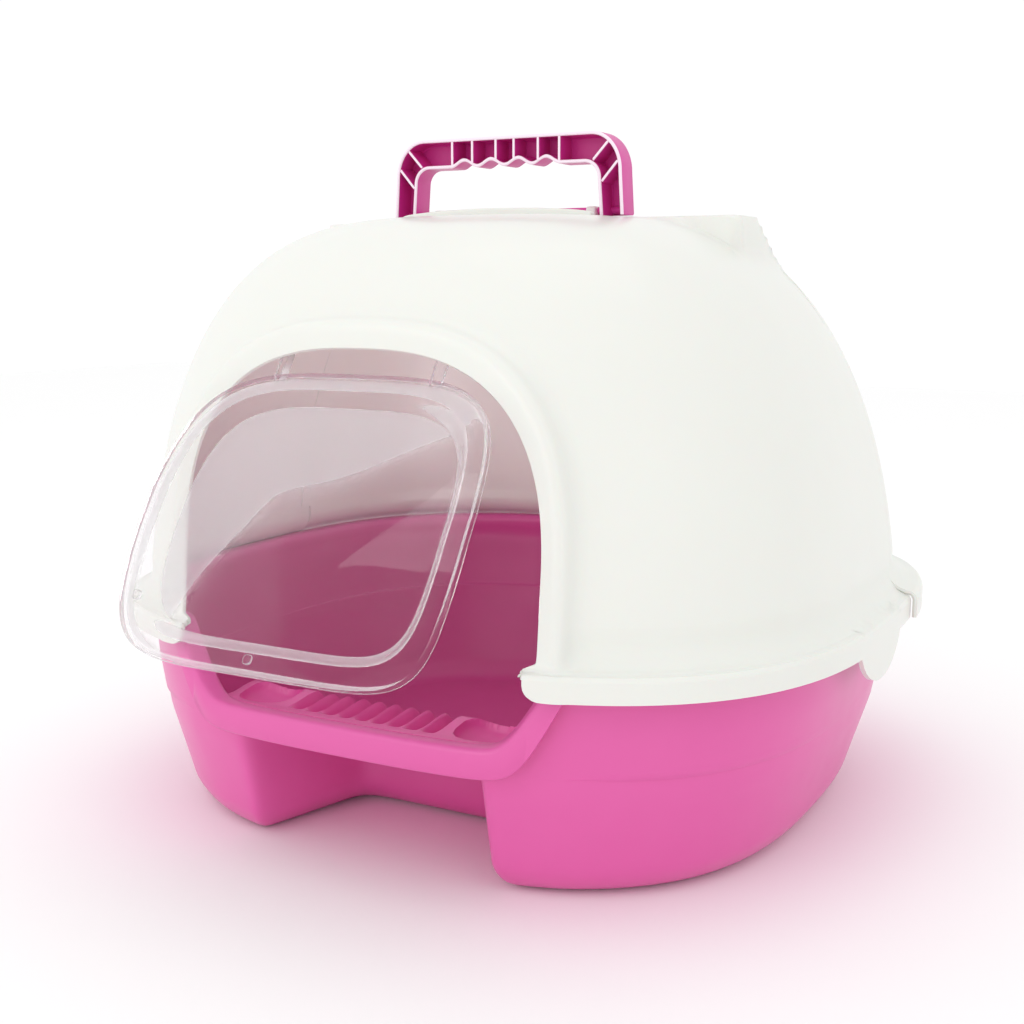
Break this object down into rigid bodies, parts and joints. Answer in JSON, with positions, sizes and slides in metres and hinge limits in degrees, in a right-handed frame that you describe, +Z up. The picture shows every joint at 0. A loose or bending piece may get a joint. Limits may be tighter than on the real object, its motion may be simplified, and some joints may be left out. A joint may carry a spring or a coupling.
{
  "type": "hooded cat litter box",
  "caption": "Covered cat litter box: deep pan with a stepped entry, two-shell hood with ear-shaped corners, clear swing flap and fold-down carry handle.",
  "frame": {"origin": "on the ground under the middle of the width, 20 mm in front of the middle of the pan's plan", "axes": "+X to the right seen from behind the entry looking in, +Y from the entry to the back, +Z up"},
  "size_m": [0.532, 0.5724, 0.456],
  "materials": {
    "pan_pink": "moulded, satin gloss",
    "step_pink": "moulded, satin gloss",
    "hood_white": "moulded, satin gloss",
    "hood_rear_white": "moulded, satin gloss",
    "flap_clear": "clear, polished",
    "handle_magenta": "moulded, satin gloss"
  },
  "bodies": {
    "base": {"litter_pan": "pan_pink", "step_plate": "step_pink", "hood_front": "hood_white", "hood_rear": "hood_rear_white"},
    "flap": {"flap_door": "flap_clear"},
    "handle": {"carry_handle": "handle_magenta"}
  },
  "joints": [
    {"name": "flap_hinge", "type": "hinge", "parent": "base", "child": "flap", "pos_m": [0, -0.187, 0.318], "axis": [1, 0, 0], "range_deg": [-6, 75]},
    {"name": "handle_hinge", "type": "hinge", "parent": "base", "child": "handle", "pos_m": [0, -0.0035, 0.4052], "axis": [-1, 0, 0], "range_deg": [0, 90]}
  ]
}
